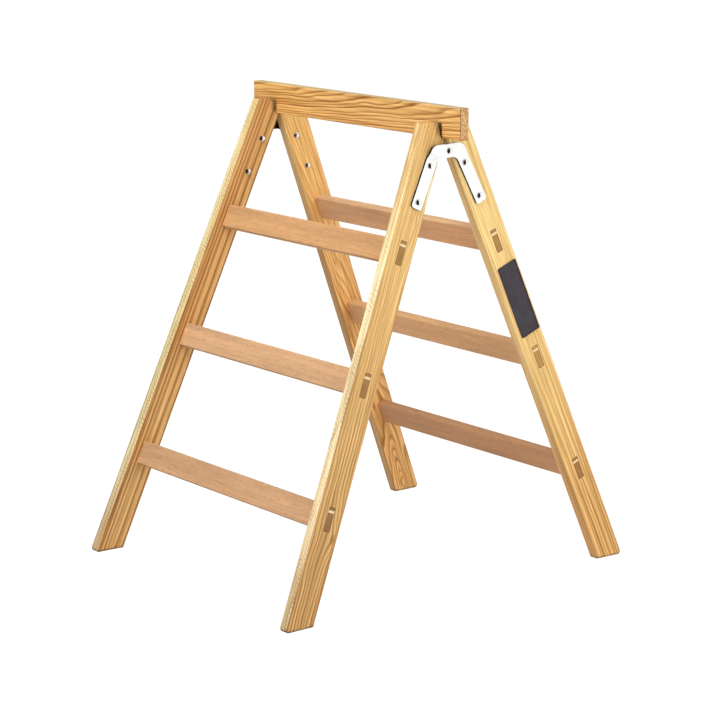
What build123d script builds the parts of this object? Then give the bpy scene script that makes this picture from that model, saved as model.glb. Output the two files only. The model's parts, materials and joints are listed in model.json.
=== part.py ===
"""Folding wooden work trestle: two splayed ladders hinged at the head, with one beam on top.

Millimetres, Z up. X runs along the rungs, the front ladder stands at -Y and the rear one at +Y.
The origin is on the floor, under the middle of the beam.
"""
from build123d import *
import math
import os

# Ladders
lean = 22.2              # degrees from the vertical, each ladder
foot_width = 740         # over the stiles, at the floor
head_width = 605         # over the stiles, at the hinge pivots
first_rung = 231         # floor to the lowest rung's middle, along the ladder
rung_pitch = 280         # rung to rung, along the ladder
rung_names = ["bottom", "middle", "top"]
head_run = 233           # top rung's middle to the pivots, along the ladder
pivot_clear = 10.2       # pivot centre to each stile's inner edge

# Stiles
stile_depth = 67
stile_thickness = 24
stile_round = 3          # long edges, foot and top
toe_round = 7            # foot's outer edge
cheek_height = 34.5      # stile above the beam's seat

# Rungs, with tenons through the stiles
rung_height = 53
rung_thickness = 22
rung_round = 4
tenon_height = 50
tenon_thickness = 15
glue_gap = 0.1

# Wedges driven into the tenon ends
wedge_drop = 9           # tenon's upper edge to the wedge's middle
wedge_length = 20
wedge_thick_end = 5
wedge_thin_end = 1

# Head beam, seated on the stiles above the pivots
beam_depth = 66
beam_thickness = 22
beam_overhang = 60.2     # past the stiles' outer faces, at the pivots' level
beam_round = 2
pivot_drop = 25.5        # beam's underside to the pivots

# Front notch: the stop that holds the trestle open
stop_gap = 0.6           # front notch to the beam, when open
stop_relief = 11         # degrees that the front cheek leans away from the beam

# Beam screws
screw_diameter = 5
screw_length = 58
screw_head_diameter = 10
screw_head_depth = 3.5
screw_pitch = 16
screw_fit = 0.1

# Hinge leaves, bent from flat steel
leaf_width = 28
leaf_thickness = 5
leaf_arm = 33            # pivot to the knee
leaf_turn = 4.1          # degrees that the leg leans more than its stile
knee_outer_round = 20
knee_inner_round = 20
leaf_end_round = 6
leaf_end = 14            # last bolt to the leaf's end
leaf_play = 0.3          # between the two leaves at the pivot
crank_run = 16           # length over which the front leaf steps out over the rear one
eye_margin = 3.5         # crank to the rear leaf's eye

# Pivot rivets
pivot_diameter = 8
pivot_fit = 0.1          # between the pin and each leaf's hole
pivot_head_diameter = 14
pivot_head_height = 5
pivot_tail_diameter = 14
pivot_tail_height = 2.5

# Hinge bolts, two on each leaf, screwed into sleeve nuts with the same domed heads
bolt_diameter = 8
bolt_fit = 0.15
bolt_pitch = 80
bolt_setback = 10        # bend to the first bolt, along the ladder
bolt_head_diameter = 14
bolt_head_height = 5
bolt_tip = 0.8
bolt_end_gap = 1         # bolt's end to the bottom of its nut
nut_head_diameter = 16.5
nut_head_height = 6
sleeve_diameter = 11
sleeve_length = 15

# Worked out from the sizes above
rung_places = [first_rung + rung_pitch * number for number in range(len(rung_names))]
pivot_run = rung_places[-1] + head_run
pivot_inset = stile_depth / 2 + pivot_clear
slope_sin = math.sin(math.radians(lean))
slope_cos = math.cos(math.radians(lean))
foot_reach = pivot_run * slope_sin + pivot_inset * slope_cos
pivot_height = pivot_run * slope_cos - pivot_inset * slope_sin
splay_slope = (foot_width - head_width) / 2 / pivot_run
splay = math.atan(splay_slope)
stile_span = stile_thickness / math.cos(splay)
beam_bottom = pivot_height + pivot_drop
stile_top = beam_bottom + cheek_height
beam_length = head_width + 2 * beam_overhang
bend_run = pivot_run - leaf_width / 2 - eye_margin - crank_run
leaf_span = leaf_thickness / math.cos(splay)
leaf_step = leaf_span + leaf_play
reach = 2 * (pivot_run + stile_depth)    # longer than anything it cuts

# The rear ladder's plane: x across, y up the slope, z in towards the front ladder
ladder = Plane(origin=(0, foot_reach, 0), x_dir=(1, 0, 0), z_dir=(0, -slope_cos, -slope_sin))


def outer_x(run):
    """Right stile's outer face, at a run up the ladder."""
    return foot_width / 2 - run * splay_slope


def on_ladder(shape):
    """Place a shape that was drawn in ladder coordinates."""
    return ladder.location * shape


def ladder_prism(points, depth):
    """Extrude an outline in the ladder's plane, half its depth to each side."""
    face = make_face(Polyline(*points, close=True))
    return on_ladder(extrude(face, depth / 2, both=True))


def side_prism(points, start, end):
    """Extrude an outline of (y, z) points along X, from start to end."""
    face = make_face(Polyline(*points, close=True))
    return Plane.YZ.offset(start).location * extrude(face, end - start)


def stile_edge(inset, margin):
    """Points of the outline between the stile's outer face and a face set in from it."""
    low, high = -margin, pivot_run + margin
    return [
        (outer_x(low), low),
        (outer_x(high), high),
        (outer_x(high) - inset, high),
        (outer_x(low) - inset, low),
    ]


def notch(gap, relief):
    """What is cut from a stile's head for the beam: a level seat and a cheek."""
    rise = 2 * cheek_height
    cheek = beam_thickness / 2 + gap
    seat = beam_bottom - gap
    lean_back = rise * math.tan(math.radians(relief))
    points = [(-reach, seat), (cheek, seat), (cheek + lean_back, seat + rise), (-reach, seat + rise)]
    return side_prism(points, 0, foot_width)


def bolt_seats():
    """Two places on the right stile's outer face, each with Z square out of the wood."""
    turn = math.radians(leaf_turn)
    knee_run = pivot_run - leaf_arm * slope_sin
    knee_inset = pivot_inset - leaf_arm * slope_cos
    first = (knee_run - (bend_run - bolt_setback)) / math.cos(turn)
    seats = []
    for along in (first, first + bolt_pitch):
        run = knee_run - along * math.cos(turn)
        inset = knee_inset - along * math.sin(turn)
        seat = Plane(
            origin=(outer_x(run), run, inset),
            x_dir=(0, 0, 1),
            z_dir=(math.cos(splay), math.sin(splay), 0),
        )
        seats.append(ladder.location * seat.location)
    return seats


seats = bolt_seats()


def bolt_holes():
    """Holes along both hinge bolts of the right stile."""
    return [seat * Cylinder(bolt_diameter / 2 + bolt_fit, reach) for seat in seats]


def sleeve_holes():
    """Holes for both sleeve nuts, from the right stile's inner face."""
    hole = Cylinder(sleeve_diameter / 2 + bolt_fit, 2 * sleeve_length)
    return [seat * Pos(0, 0, -stile_thickness) * hole for seat in seats]


def screw_places():
    """Two places on the beam's front face in line with the right rear stile's cheek."""
    level = beam_bottom + cheek_height / 2
    run = (level + pivot_inset * slope_sin) / slope_cos
    x = outer_x(run) - stile_span / 2
    return [(x, level - screw_pitch / 2), (x, level + screw_pitch / 2)]


def screw(fit):
    """Countersunk wood screw along +Y, its head flush with the beam's front face."""
    head = screw_head_diameter / 2 + fit
    shank = screw_diameter / 2 + fit
    point = screw_length - screw_diameter
    outline = Polyline(
        (0, 0),
        (head, 0),
        (shank, screw_head_depth + fit),
        (shank, point + fit),
        (0, screw_length + fit),
        close=True,
    )
    upright = revolve(make_face(Plane.XZ * outline), Axis.Z)
    return Pos(0, -beam_thickness / 2, 0) * Rot(-90, 0, 0) * upright


def screws(fit):
    return [Pos(x, 0, z) * screw(fit) for x, z in screw_places()]


def stile(gap, relief, cuts):
    """Right stile of the rear ladder."""
    bar = ladder_prism(stile_edge(stile_span, stile_depth), stile_depth)
    room = Pos(0, 0, stile_top / 2) * Box(reach, reach, stile_top)
    bar = (bar & room) - notch(gap, relief)
    bar = bar.solids().sort_by(SortBy.VOLUME)[-1]
    toe = bar.faces().sort_by(Axis.Z)[0].edges().sort_by(Axis.Y)[-1]
    bar = fillet(toe, toe_round)
    heel = bar.faces().filter_by(GeomType.PLANE).sort_by(Axis.Z)[0].edges().sort_by(Axis.Y)[0]
    top = bar.faces().sort_by(Axis.Z)[-1].edges()
    sides = bar.edges().sort_by(Edge.length)[-4:]    # they run on round the toe
    bar = fillet(sides + top + [heel], stile_round)
    for run in rung_places:
        mortise = Box(foot_width, tenon_height + 2 * glue_gap, tenon_thickness + 2 * glue_gap)
        bar -= on_ladder(Pos(foot_width / 2, run, 0) * mortise)
    for cut in bolt_holes() + sleeve_holes() + cuts:
        bar -= cut
    return bar.solids().sort_by(SortBy.VOLUME)[-1]


def wedge(run):
    """Wedge in the right end of the rung at a run up the ladder."""
    middle = run + tenon_height / 2 - wedge_drop
    thick, thin = wedge_thick_end / 2, wedge_thin_end / 2
    tip = outer_x(middle) - wedge_length
    points = [
        (outer_x(middle + thick), middle + thick),
        (outer_x(middle - thick), middle - thick),
        (tip, middle - thin),
        (tip, middle + thin),
    ]
    return ladder_prism(points, tenon_thickness)


def between_stiles(inset):
    """Everything between the two stiles' faces, each set in from its outer face."""
    low, high = -stile_depth, pivot_run + stile_depth
    points = [
        (outer_x(low) - inset, low),
        (outer_x(high) - inset, high),
        (inset - outer_x(high), high),
        (inset - outer_x(low), low),
    ]
    return ladder_prism(points, stile_depth)


def rung(run):
    """Rung with its shoulders on the stiles' inner faces and its tenons flush outside."""
    bar = Box(foot_width, rung_height, rung_thickness)
    bar = fillet(bar.edges().filter_by(Axis.X), rung_round)
    body = on_ladder(Pos(0, run, 0) * bar) & between_stiles(stile_span)
    tenons = on_ladder(Pos(0, run, 0) * Box(foot_width, tenon_height, tenon_thickness)) & between_stiles(0)
    whole = body + tenons
    whole = whole - wedge(run) - mirror(wedge(run), about=Plane.YZ)
    return whole.solids().sort_by(SortBy.VOLUME)[-1]


def beam():
    """Head beam, with countersunk holes for its screws."""
    bar = Box(beam_length, beam_thickness, beam_depth)
    bar = fillet(bar.edges(), beam_round)
    bar = Pos(0, 0, beam_bottom + beam_depth / 2) * bar
    for hole in screws(screw_fit):
        bar = bar - hole - mirror(hole, about=Plane.YZ)
    return bar


def leaf_outline():
    """Flat strap seen along X: eye, arm, knee and leg."""
    half = leaf_width / 2
    lean_all = math.radians(lean + leaf_turn)
    knee = Vector(leaf_arm, pivot_height)
    down = Vector(math.sin(lean_all), -math.cos(lean_all))
    out = Vector(math.cos(lean_all), math.sin(lean_all))
    corner = Vector(math.cos(lean_all) / (1 + math.sin(lean_all)), 1) * half
    knee_run = pivot_run - leaf_arm * slope_sin
    turn = math.cos(math.radians(leaf_turn))
    leg = (knee_run - (bend_run - bolt_setback)) / turn + bolt_pitch + leaf_end
    end = knee + down * leg
    top = Vector(0, pivot_height + half)
    bottom = Vector(0, pivot_height - half)
    edge = FilletPolyline(
        top,
        knee + corner,
        end + out * half,
        end - out * half,
        knee - corner,
        bottom,
        radius=[knee_outer_round, leaf_end_round, leaf_end_round, knee_inner_round],
    )
    eye = ThreePointArc(bottom, Vector(-half, pivot_height), top)
    return make_face([edge, eye])


def hinge_leaf(step_out):
    """Right rear leaf: its leg lies on the stile, and its eye is square to the pivot."""
    low = bend_run - 2 * bolt_pitch
    high = pivot_run + 2 * leaf_width
    flat = outer_x(bend_run)
    inner = [
        (outer_x(low), low),
        (flat, bend_run),
        (flat + step_out, bend_run + crank_run),
        (flat + step_out, high),
    ]
    outer = [(x + leaf_span, y) for x, y in inner]
    bent = ladder_prism(inner + outer[::-1], reach)
    strap = Plane.YZ.location * extrude(leaf_outline(), foot_width)
    eye_hole = Pos(0, 0, pivot_height) * Rot(0, 90, 0) * Cylinder(pivot_diameter / 2 + pivot_fit, reach)
    leaf = (bent & strap) - eye_hole
    for hole in bolt_holes():
        leaf -= hole
    return leaf


def domed_pin(diameter, head_diameter, head_height, length):
    """Round pin down from a domed head, whose flat underside is at Z 0."""
    head = head_diameter / 2
    radius = diameter / 2
    dome = ThreePointArc(
        (0, 0, head_height),
        (head * math.sin(math.pi / 4), 0, head_height * math.cos(math.pi / 4)),
        (head, 0, 0),
    )
    rest = Polyline((head, 0, 0), (radius, 0, 0), (radius, 0, -length), (0, 0, -length), (0, 0, head_height))
    return revolve(make_face([dome, rest]), Axis.Z)


def pivot_rivet():
    """Right pivot: domed head outside, spread tail inside, fixed in the rear leaf."""
    grip = 2 * leaf_step
    pin = domed_pin(pivot_diameter, pivot_head_diameter, pivot_head_height, grip)
    tail = Pos(0, 0, -grip - pivot_tail_height / 2) * Cylinder(pivot_tail_diameter / 2, pivot_tail_height)
    tail = chamfer(tail.faces().sort_by(Axis.Z)[0].edges(), pivot_tail_height / 3)
    outside = outer_x(bend_run) + leaf_step + leaf_span
    return Pos(outside, 0, pivot_height) * Rot(0, 90, 0) * (pin + tail)


def hinge_bolt():
    """Dome-headed bolt on its seat: the head is on the leaf, the end in the sleeve nut."""
    length = leaf_thickness + stile_thickness - bolt_end_gap
    pin = domed_pin(bolt_diameter, bolt_head_diameter, bolt_head_height, length)
    pin = chamfer(pin.faces().sort_by(Axis.Z)[0].edges(), bolt_tip)
    return Pos(0, 0, leaf_thickness) * pin


def hinge_nut():
    """Sleeve nut: its domed head is on the stile's inner face, its bored sleeve in the wood."""
    nut = domed_pin(sleeve_diameter, nut_head_diameter, nut_head_height, sleeve_length)
    nut -= Pos(0, 0, -sleeve_length) * Cylinder(bolt_diameter / 2 + bolt_fit, 2 * sleeve_length)
    return Pos(0, 0, -stile_thickness) * Rot(180, 0, 0) * nut


def right_pieces(gap, relief, step_out, cuts):
    """The right-hand pieces of one ladder, as lists of solids."""
    pieces = {
        "stile": [stile(gap, relief, cuts)],
        "hinge_leaf": [hinge_leaf(step_out)],
        "hinge_bolts": [seat * hinge_bolt() for seat in seats],
        "hinge_nuts": [seat * hinge_nut() for seat in seats],
    }
    for name, run in zip(rung_names, rung_places):
        pieces[f"{name}_wedge"] = [wedge(run)]
    return pieces


def save(name, solids):
    """Write one piece, or one group of like pieces."""
    shape = solids[0] if len(solids) == 1 else Compound(children=solids)
    shape.label = name
    export_step(shape, f"parts/{name}.step")


def to_front(solids):
    return [mirror(solid, about=Plane.XZ) for solid in solids]


def to_left(solids):
    return [mirror(solid, about=Plane.YZ) for solid in solids]


def as_placed(solids):
    return solids


os.makedirs("parts", exist_ok=True)
ladders = {
    "front": (to_front, right_pieces(stop_gap, stop_relief, leaf_step, [])),
    "rear": (as_placed, right_pieces(0, 0, 0, screws(screw_fit))),
}
for ladder_name, (turn_to, pieces) in ladders.items():
    for piece, solids in pieces.items():
        save(f"{ladder_name}_right_{piece}", turn_to(solids))
        save(f"{ladder_name}_left_{piece}", turn_to(to_left(solids)))
    for name, run in zip(rung_names, rung_places):
        save(f"{ladder_name}_{name}_rung", turn_to([rung(run)]))
for side, turn_to in (("right", as_placed), ("left", to_left)):
    save(f"{side}_pivot_rivet", turn_to([pivot_rivet()]))
    save(f"{side}_beam_screws", turn_to(screws(0)))
save("head_beam", [beam()])

print("overall height", round(beam_bottom + beam_depth, 2))
print("pivot height", round(pivot_height, 2), "foot reach", round(foot_reach, 2))
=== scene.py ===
"""Folding work trestle: wood and zinc finishes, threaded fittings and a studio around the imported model."""
import json
import math
from typing import NamedTuple

import bpy
from bpy.props import FloatProperty, FloatVectorProperty, PointerProperty
from mathutils import Matrix, Vector


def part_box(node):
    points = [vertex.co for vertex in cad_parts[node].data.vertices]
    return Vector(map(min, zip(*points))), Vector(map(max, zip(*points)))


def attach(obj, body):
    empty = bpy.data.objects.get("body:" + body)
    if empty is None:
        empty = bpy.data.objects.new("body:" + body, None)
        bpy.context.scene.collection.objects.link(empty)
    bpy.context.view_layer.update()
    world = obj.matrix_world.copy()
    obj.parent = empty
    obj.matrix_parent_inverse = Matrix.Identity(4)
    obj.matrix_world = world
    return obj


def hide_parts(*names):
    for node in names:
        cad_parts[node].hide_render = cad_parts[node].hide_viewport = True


bl_info = {
    "name": "Folding work trestle",
    "version": (1, 0, 0),
    "blender": (4, 5, 0),
    "location": "View3D > Sidebar > Trestle",
    "description": "Wood and zinc finishes, threaded fittings and a studio for a folding work trestle",
    "category": "Object",
}

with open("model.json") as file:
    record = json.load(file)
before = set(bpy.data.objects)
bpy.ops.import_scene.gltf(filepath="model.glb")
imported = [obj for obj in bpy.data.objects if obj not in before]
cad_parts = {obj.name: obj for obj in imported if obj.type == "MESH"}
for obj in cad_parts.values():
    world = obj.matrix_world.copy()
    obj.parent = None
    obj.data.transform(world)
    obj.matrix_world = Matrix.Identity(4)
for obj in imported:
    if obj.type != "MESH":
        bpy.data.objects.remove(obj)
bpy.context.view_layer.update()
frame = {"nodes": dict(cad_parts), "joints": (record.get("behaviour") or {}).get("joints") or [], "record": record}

LADDERS = ("front", "rear")
SIDES = ("left", "right")
LEVELS = ("bottom", "middle", "top")
PLACES = [f"{ladder}_{side}" for ladder in LADDERS for side in SIDES]
FOLD = frame["joints"][0]
FEET = {mount["name"]: Vector(mount["pos_m"]) for mount in frame["record"]["mounts"]}

WHITE = (1, 1, 1)
QUARTER_TURN = math.pi / 2
ACROSS_ONLY = (1, 1, 0)         # drops the third part of a vector
NOISE_MIDDLE = (0.5, 0.5, 0.5)
NOISE_SPAN = (0.25, 0.75)       # where most values of a noise lie

# Grains per metre across, through and along a bar
PINE_FIBRE = (900, 900, 14)
PINE_STREAK = (170, 170, 2.5)
PINE_CLOUD = (18, 18, 1.3)
BEECH_FLECK = (800, 800, 50)
BEECH_FIBRE = (700, 700, 10)
BEECH_CLOUD = (40, 40, 3)


def colour(name, description, default):
    """Colour that a user can change."""
    return FloatVectorProperty(
        name=name, description=description, subtype="COLOR", size=3, min=0, max=1, default=default
    )


def length(name, description, default):
    """Length that a user can change, in metres."""
    return FloatProperty(name=name, description=description, unit="LENGTH", default=default, min=0)


def angle(name, description, default):
    """Angle that a user can change, with its default in degrees."""
    return FloatProperty(
        name=name, description=description, subtype="ANGLE", unit="ROTATION", default=math.radians(default)
    )


def amount(name, description, default):
    """Share from 0 to 1 that a user can change."""
    return FloatProperty(name=name, description=description, subtype="FACTOR", default=default, min=0, max=1)


def watts(name, description, default):
    """Power of a lamp that a user can change."""
    return FloatProperty(name=name, description=description, unit="POWER", default=default)


class TrestleTimber(bpy.types.PropertyGroup):
    """Sizes and colours of the wood."""

    splay: angle("Splay", "How far each stile leans in towards its ladder's middle", 3.772)
    first_rung: length("First rung", "Floor to the lowest rung's middle, along the ladder", 0.231)
    rung_pitch: length("Rung pitch", "Rung to rung, along the ladder", 0.28)
    tenon_height: length("Tenon height", "Tenon's size up the ladder", 0.05)
    tenon_thickness: length("Tenon thickness", "Tenon's size through the ladder", 0.015)
    pine_early: colour("Pine, spring wood", "Pale wood between the rings", (0.87, 0.58, 0.235))
    pine_heart: colour("Pine, heart wood", "Warmer wood that the pale wood runs into", (0.72, 0.375, 0.13))
    pine_sap: colour("Pine, sap wood", "Palest wood, on the ladders' outer faces", (0.97, 0.86, 0.53))
    pine_late: colour("Pine, summer wood", "Tint of the dark line in each ring", (0.42, 0.28, 0.155))
    pine_tick: colour("Pine, ring ends", "Short slanting lines on the sap wood", (0.45, 0.235, 0.08))
    pine_streak: colour("Pine, streak", "Tint of the fine dark streaks", (0.75, 0.69, 0.59))
    pine_knot: colour("Pine, knot", "Tint of the knots", (0.5, 0.36, 0.24))
    beech: colour("Beech", "Rungs", (0.69, 0.395, 0.2))
    beech_fleck: colour("Beech fleck", "Short dark flecks along the rungs", (0.43, 0.2, 0.09))
    wedge: colour("Wedge", "Pale wedges in the tenon ends", (0.85, 0.66, 0.36))
    joint_line: colour("Joint line", "Dark line round each tenon", (0.14, 0.06, 0.02))
    gloss: amount("Gloss", "Shine of the bare planed wood", 0.2)


class TrestleFittings(bpy.types.PropertyGroup):
    """Sizes and colours of the metal and of the blank sticker."""

    bolt_diameter: length("Bolt diameter", "Hinge bolts, over the thread", 0.008)
    bolt_head: length("Bolt head", "Diameter of a hinge bolt's domed head", 0.014)
    head_height: length("Head height", "Height of a hinge bolt's domed head", 0.005)
    thread_pitch: length("Thread pitch", "Hinge bolts, crest to crest", 0.00125)
    thread_length: length("Thread length", "Threaded length at the end of a hinge bolt", 0.011)
    screw_diameter: length("Screw diameter", "Beam screws", 0.005)
    screw_length: length("Screw length", "Beam screws, head to point", 0.058)
    screw_head: length("Screw head", "Diameter of a beam screw's countersunk head", 0.01)
    screw_head_depth: length("Screw head depth", "Height of a beam screw's countersunk head", 0.0035)
    slot_width: length("Slot width", "Each slot of a beam screw's cross", 0.0012)
    slot_length: length("Slot length", "Each slot of a beam screw's cross", 0.0055)
    slot_depth: length("Slot depth", "Cross in a beam screw's head", 0.0024)
    sticker_length: length("Sticker length", "Blank sticker, up the stile", 0.167)
    sticker_width: length("Sticker width", "Blank sticker, across the stile", 0.0515)
    sticker_film: length("Sticker film", "Blank sticker's thickness", 0.00015)
    sticker_round: length("Sticker round", "Blank sticker's corner radius", 0.0025)
    sticker_height: length("Sticker height", "Floor to the sticker's middle, along the stile", 0.6514)
    sticker_shift: length("Sticker shift", "Sticker's middle off the stile's, towards the rear", 0.0024)
    zinc: colour("Zinc", "Bright plated faces", (0.985, 0.995, 0.985))
    # near-black painted shade on the hinge leaves' cut edges and backs
    painted_leaf_shade: colour("Dull zinc", "Cut edges and backs of the hinge leaves", (0.008, 0.008, 0.008))
    sticker: colour("Sticker", "Blank dark film", (0.04, 0.032, 0.04))


class TrestleStudio(bpy.types.PropertyGroup):
    """Camera, light and floor."""

    azimuth: angle("Azimuth", "Camera's turn round the trestle, from the front", 52.236)
    elevation: angle("Elevation", "Camera's height above the horizon", 12.164)
    roll: angle("Roll", "Camera's tilt", 0.063)
    distance: length("Distance", "Camera to the point that it looks at", 5.36045)
    aim_height: length("Aim height", "Height of the point that the camera looks at", 0.504)
    aim_right: length("Aim right", "Shift of that point to the camera's right", 0.00976)
    aim_down: length("Aim down", "Shift of that point down in the picture", 0.06414)
    focal_length: FloatProperty(
        name="Focal length", description="Lens, for a 36 mm sensor",
        subtype="DISTANCE_CAMERA", default=122.45,
    )
    floor: colour("Floor", "Floor, as it lights the trestle from below", (0.8, 0.8, 0.8))
    lit_floor: colour("Lit floor", "What light adds to the floor that the camera sees", (0.14, 0.14, 0.14))
    sky: FloatProperty(name="Sky", description="Strength of the even light all round", default=0.44)
    overhead_power: watts("Overhead", "Lamp above the front", 162)
    side_power: watts("Side", "Lamp on the right", 88)
    dark_side: angle("Dark side", "Turn from the front to the middle of the studio's dark side", 22)
    dark_spread: angle("Dark spread", "Half the width of the dark side", 89)
    strip_side: angle("Strip side", "Turn from the front to the middle of a dark strip seen in mirrors", 195)
    strip_spread: angle("Strip spread", "Half the width of the dark strip", 20)
    dark_share: amount("Dark share", "Light that still comes from the dark side", 0.3)
    mirrored_dark: amount("Mirrored dark", "Level of the dark side and the strip in mirrors", 0.02)


class Nodes:
    """Short forms for the nodes of one node tree."""

    def __init__(self, tree):
        self.tree = tree

    def add(self, kind, inputs=(), **options):
        """New node with its options set and its inputs fed."""
        node = self.tree.nodes.new(kind)
        for key, value in options.items():
            setattr(node, key, value)
        for key, value in dict(inputs).items():
            self.feed(node.inputs[key], value)
        return node

    def feed(self, socket, value):
        """Link a socket to an output, or give it a plain value."""
        if isinstance(value, bpy.types.NodeSocket):
            self.tree.links.new(value, socket)
        elif socket.type == "RGBA" and len(value) == 3:
            socket.default_value = (*value, 1)
        else:
            socket.default_value = value

    def math(self, operation, *values):
        return self.add("ShaderNodeMath", enumerate(values), operation=operation).outputs[0]

    def plus(self, first, second):
        return self.math("ADD", first, second)

    def minus(self, first, second):
        return self.math("SUBTRACT", first, second)

    def times(self, first, second):
        return self.math("MULTIPLY", first, second)

    def gather(self, operation, values):
        """One number from a row of them, such as their sum or the largest."""
        whole = values[0]
        for value in values[1:]:
            whole = self.math(operation, whole, value)
        return whole

    def vector(self, operation, *values, out="Vector"):
        return self.add("ShaderNodeVectorMath", enumerate(values), operation=operation).outputs[out]

    def parts(self, vector):
        return self.add("ShaderNodeSeparateXYZ", {0: vector}).outputs

    def pick(self, share, first, second):
        """First value where the share is 0, second where it is 1."""
        return self.add("ShaderNodeMapRange", {0: share, 3: first, 4: second}).outputs[0]

    def between(self, value, low, high, low_out=0.0, high_out=1.0):
        """Ease from one value to another while the input goes from low to high."""
        inputs = {0: value, 1: low, 2: high, 3: low_out, 4: high_out}
        return self.add("ShaderNodeMapRange", inputs, interpolation_type="SMOOTHSTEP").outputs[0]


class Shader(Nodes):
    """Short forms for the nodes of one new material."""

    def __init__(self, name):
        self.material = bpy.data.materials.new(name)
        self.material.use_nodes = True
        super().__init__(self.material.node_tree)
        self.surface = self.tree.nodes["Principled BSDF"]
        place = self.add("ShaderNodeTexCoord")
        self.point = place.outputs["Object"]
        self.normal = place.outputs["Normal"]

    def in_frame(self, place):
        """The surface point in the coordinates of a placed and turned frame."""
        inputs = {"Vector": self.point, "Location": place.to_translation(), "Rotation": place.to_euler()}
        return self.add("ShaderNodeMapping", inputs, vector_type="TEXTURE").outputs[0]

    def facing(self, direction):
        """How squarely the surface looks in a direction, from -1 to 1."""
        return self.vector("DOT_PRODUCT", self.normal, direction, out="Value")

    def noise(self, point, grains, detail=2.0, out="Fac"):
        """Noise whose grains per metre along each axis are given."""
        inputs = {"Vector": self.vector("MULTIPLY", point, grains), "Scale": 1.0, "Detail": detail}
        return self.add("ShaderNodeTexNoise", inputs).outputs[out]

    def wander(self, point, grains, detail, size):
        """Shift that changes slowly from place to place, across a bar."""
        shift = self.vector("SUBTRACT", self.noise(point, grains, detail, "Color"), NOISE_MIDDLE)
        return self.vector("MULTIPLY", shift, (size, size, 0))

    def ramp(self, value, stops):
        """Piecewise straight curve through (place, height) stops."""
        node = self.add("ShaderNodeValToRGB", {0: value})
        elements = node.color_ramp.elements
        while len(elements) < len(stops):
            elements.new(1)
        for element, (place, height) in zip(elements, stops):
            element.position = place
            element.color = (height, height, height, 1)
        return node.outputs[0]

    def mix(self, share, first, second, blend="MIX"):
        """First colour where the share is 0, second where it is 1."""
        inputs = {0: share, 6: first, 7: second}
        return self.add("ShaderNodeMix", inputs, data_type="RGBA", blend_type=blend).outputs[2]

    def tint(self, base, factor, share=None):
        """Colour times a factor, all over or where a share says so."""
        tinted = self.mix(1.0, base, factor, "MULTIPLY")
        return tinted if share is None else self.mix(share, base, tinted)

    def vary(self, base, pattern, low, high):
        """Colour times a factor that follows a noise from low to high."""
        return self.tint(base, self.between(pattern, *NOISE_SPAN, low, high))

    def finish(self, base, roughness, height, depth, gloss=0.5):
        """Feed the surface: colour, roughness, relief of a depth in metres, and gloss."""
        self.surface.inputs["Specular IOR Level"].default_value = gloss
        self.feed(self.surface.inputs["Base Color"], base)
        self.feed(self.surface.inputs["Roughness"], roughness)
        bump = self.add("ShaderNodeBump", {"Height": height, "Distance": depth, "Strength": 1.0})
        self.feed(self.surface.inputs["Normal"], bump.outputs[0])
        return self.material


def settings(group):
    """One of the scene's property groups."""
    return getattr(bpy.context.scene, group)


def lean():
    """Each ladder's lean: folded flat, the front ladder has turned by both."""
    return math.radians(FOLD["range_deg"][1]) / 2


def slope_up(ladder):
    """Unit vector up a ladder's slope."""
    inwards = -1 if ladder == "rear" else 1
    return Vector((0, inwards * math.sin(lean()), math.cos(lean())))


def outer_face(ladder):
    """Direction that a ladder's outer face looks in."""
    rearwards = slope_up(ladder).cross(Vector((1, 0, 0)))
    return rearwards if ladder == "rear" else -rearwards


def frame_of(x_axis, z_axis, origin):
    """Frame with the given X and Z directions."""
    y_axis = z_axis.cross(x_axis)
    turn = Matrix((x_axis, y_axis, z_axis)).transposed().to_4x4()
    return Matrix.Translation(origin) @ turn


def stile_frame(ladder, side):
    """Frame at a stile's foot: X square out of its outer face, Z up the stile."""
    out = 1 if side == "right" else -1
    splay = settings("trestle_timber").splay
    up = slope_up(ladder)
    sideways = Vector((out, 0, 0))
    along = up * math.cos(splay) - sideways * math.sin(splay)
    outwards = sideways * math.cos(splay) + up * math.sin(splay)
    return frame_of(outwards, along, FEET[f"{ladder}_{side}_foot"])


def ladder_frame(ladder):
    """Frame on the floor in the middle of a ladder: X across, Z up the slope."""
    foot = FEET[f"{ladder}_right_foot"]
    return frame_of(Vector((1, 0, 0)), slope_up(ladder), Vector((0, foot.y, 0)))


def beam_frame():
    """Frame in the middle of the beam: Z along it, X towards the front."""
    low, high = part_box("head_beam")
    return frame_of(Vector((0, -1, 0)), Vector((1, 0, 0)), (low + high) / 2)


def rung_frame(ladder, level):
    """Frame in the middle of a rung: Z along it, X towards the rear, square to the ladder."""
    low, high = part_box(f"{ladder}_{level}_rung")
    rearwards = slope_up(ladder).cross(Vector((1, 0, 0)))
    return frame_of(rearwards, Vector((1, 0, 0)), (low + high) / 2)


def points_in(node, place):
    """A node's points in a placed frame."""
    inverse = place.inverted()
    return [inverse @ vertex.co for vertex in frame["nodes"][node].data.vertices]


def extent(points):
    """Lowest and highest coordinates of some points."""
    low = Vector([min(point[axis] for point in points) for axis in range(3)])
    high = Vector([max(point[axis] for point in points) for axis in range(3)])
    return low, high


def ranges(node, place):
    """Lowest and highest coordinates of a node in a placed frame."""
    return extent(points_in(node, place))


class Branch(NamedTuple):
    """Where a branch met a bar's wide faces, in the bar's own frame and in metres."""

    y: float
    z: float
    half_width: float
    half_length: float
    strength: float           # how far it pushes the rings out, or its share of brown


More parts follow.
